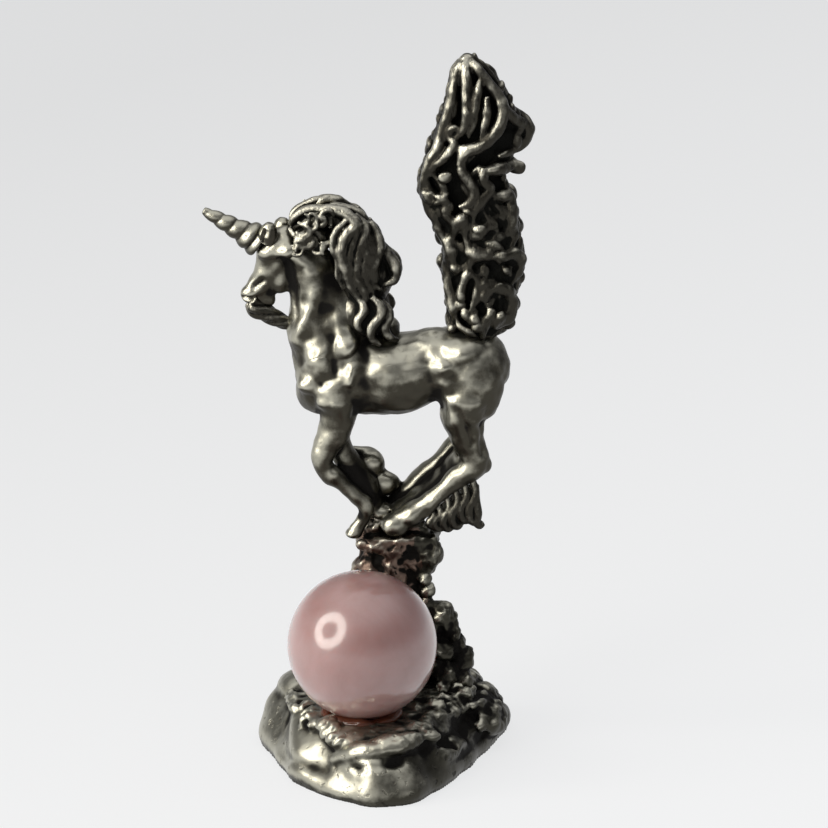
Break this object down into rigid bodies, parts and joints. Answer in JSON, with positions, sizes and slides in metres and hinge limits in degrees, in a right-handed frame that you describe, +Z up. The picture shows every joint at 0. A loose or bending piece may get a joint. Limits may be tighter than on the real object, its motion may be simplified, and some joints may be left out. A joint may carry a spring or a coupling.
{
  "type": "unicorn figurine",
  "caption": "Small pewter unicorn with a spiral horn and an upright tail, standing on a rock spire above a rock foot that carries a polished pink stone ball.",
  "frame": {"origin": "middle of the rock foot's flat underside", "axes": "+Z up, +X from the unicorn's head to its tail, -Y to the side that carries the ball"},
  "size_m": [0.0332, 0.0307, 0.0744],
  "materials": {
    "polished_pewter": "polished antique pewter",
    "hair_pewter": "antique pewter, dark in the hollows",
    "rock_pewter": "antique pewter, rough cast",
    "rose_stone": "polished, cloudy",
    "clear_cement": "clear resin"
  },
  "bodies": {
    "root": {"rock_foot": "rock_pewter", "rock_spire": "rock_pewter", "stone_ball": "rose_stone", "ball_cement": "clear_cement", "body": "polished_pewter", "head": "polished_pewter", "horn": "polished_pewter", "near_ear": "polished_pewter", "off_ear": "polished_pewter", "beard": "hair_pewter", "forelock": "hair_pewter", "mane": "hair_pewter", "near_hind_leg": "polished_pewter", "off_hind_leg": "polished_pewter", "near_foreleg": "polished_pewter", "off_foreleg": "polished_pewter", "near_feather": "hair_pewter", "off_feather": "hair_pewter", "tail": "hair_pewter"}
  },
  "joints": []
}
